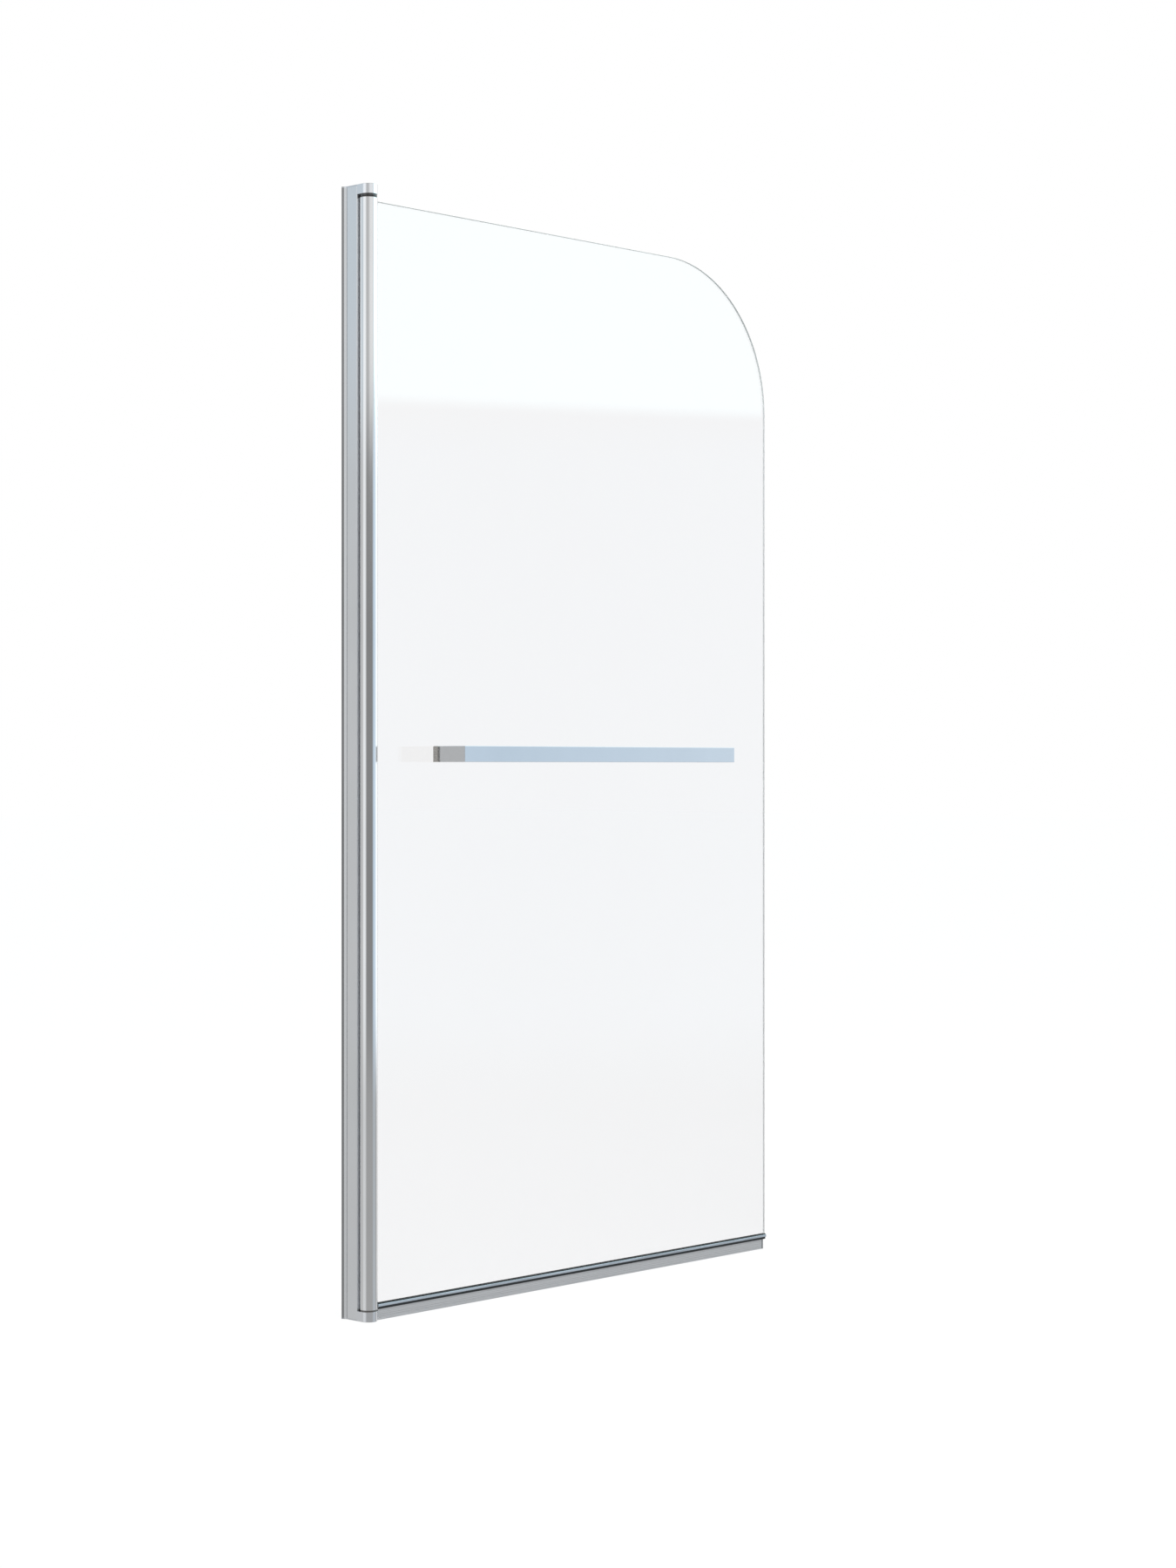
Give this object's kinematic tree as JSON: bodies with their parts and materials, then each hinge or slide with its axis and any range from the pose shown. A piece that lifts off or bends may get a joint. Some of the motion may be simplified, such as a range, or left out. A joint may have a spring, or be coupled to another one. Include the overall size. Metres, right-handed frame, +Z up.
{
  "type": "bath screen",
  "caption": "Pivoting glass bath screen with one rounded corner, a wall profile, a square towel rail and a wiping seal along the bottom.",
  "frame": {"origin": "on the wall plane, at the middle of the profile's width, level with the underside of the profile", "axes": "+Z up, +Y into the wall, +X along the glass from the pivot to its free edge at rest"},
  "size_m": [0.7696, 0.0943, 1.4],
  "materials": {
    "channel_aluminium": "satin anodised",
    "post_aluminium": "bright anodised",
    "tube_aluminium": "polished",
    "cap_chrome": "polished chrome plate",
    "rail_chrome": "polished chrome plate",
    "base_metal": "dark brushed",
    "strip_aluminium": "satin anodised",
    "clear_glass": "clear polished",
    "black_rubber": "matt",
    "black_plastic": "moulded",
    "grey_pvc": "extruded",
    "clear_pvc": "extruded",
    "white_nylon": "moulded",
    "cover_plastic": "moulded",
    "screw_steel": "plain",
    "zinc_black": "black finish",
    "bond_pad": "clear bond"
  },
  "bodies": {
    "wall_side": {"wall_channel": "channel_aluminium", "hinge_post": "post_aluminium", "saddle_seal": "black_rubber", "top_cap": "cap_chrome", "bottom_cap": "cap_chrome", "cap_screws": "screw_steel", "top_bush": "black_plastic", "bottom_bush": "black_plastic", "thrust_washer": "black_plastic", "fixing_screws": "screw_steel", "screw_covers": "cover_plastic"},
    "screen": {"pivot_tube": "tube_aluminium", "top_pivot_plug": "zinc_black", "bottom_pivot_plug": "zinc_black", "plug_screws": "screw_steel", "glazing_gasket": "clear_pvc", "setting_block": "white_nylon", "glass_panel": "clear_glass", "seal_grip": "black_rubber", "seal_carrier": "strip_aluminium", "seal_skirt": "grey_pvc", "seal_end_plug": "black_rubber", "towel_rail": "rail_chrome", "rail_bases": "base_metal", "rail_collars": "black_plastic", "rail_bond_pads": "bond_pad", "rail_studs": "screw_steel", "rail_grub_screws": "screw_steel"}
  },
  "joints": [
    {"name": "screen_pivot", "type": "hinge", "parent": "wall_side", "child": "screen", "pos_m": [0, -0.0335, 0], "axis": [0, 0, 1], "range_deg": [-165, 0]}
  ]
}
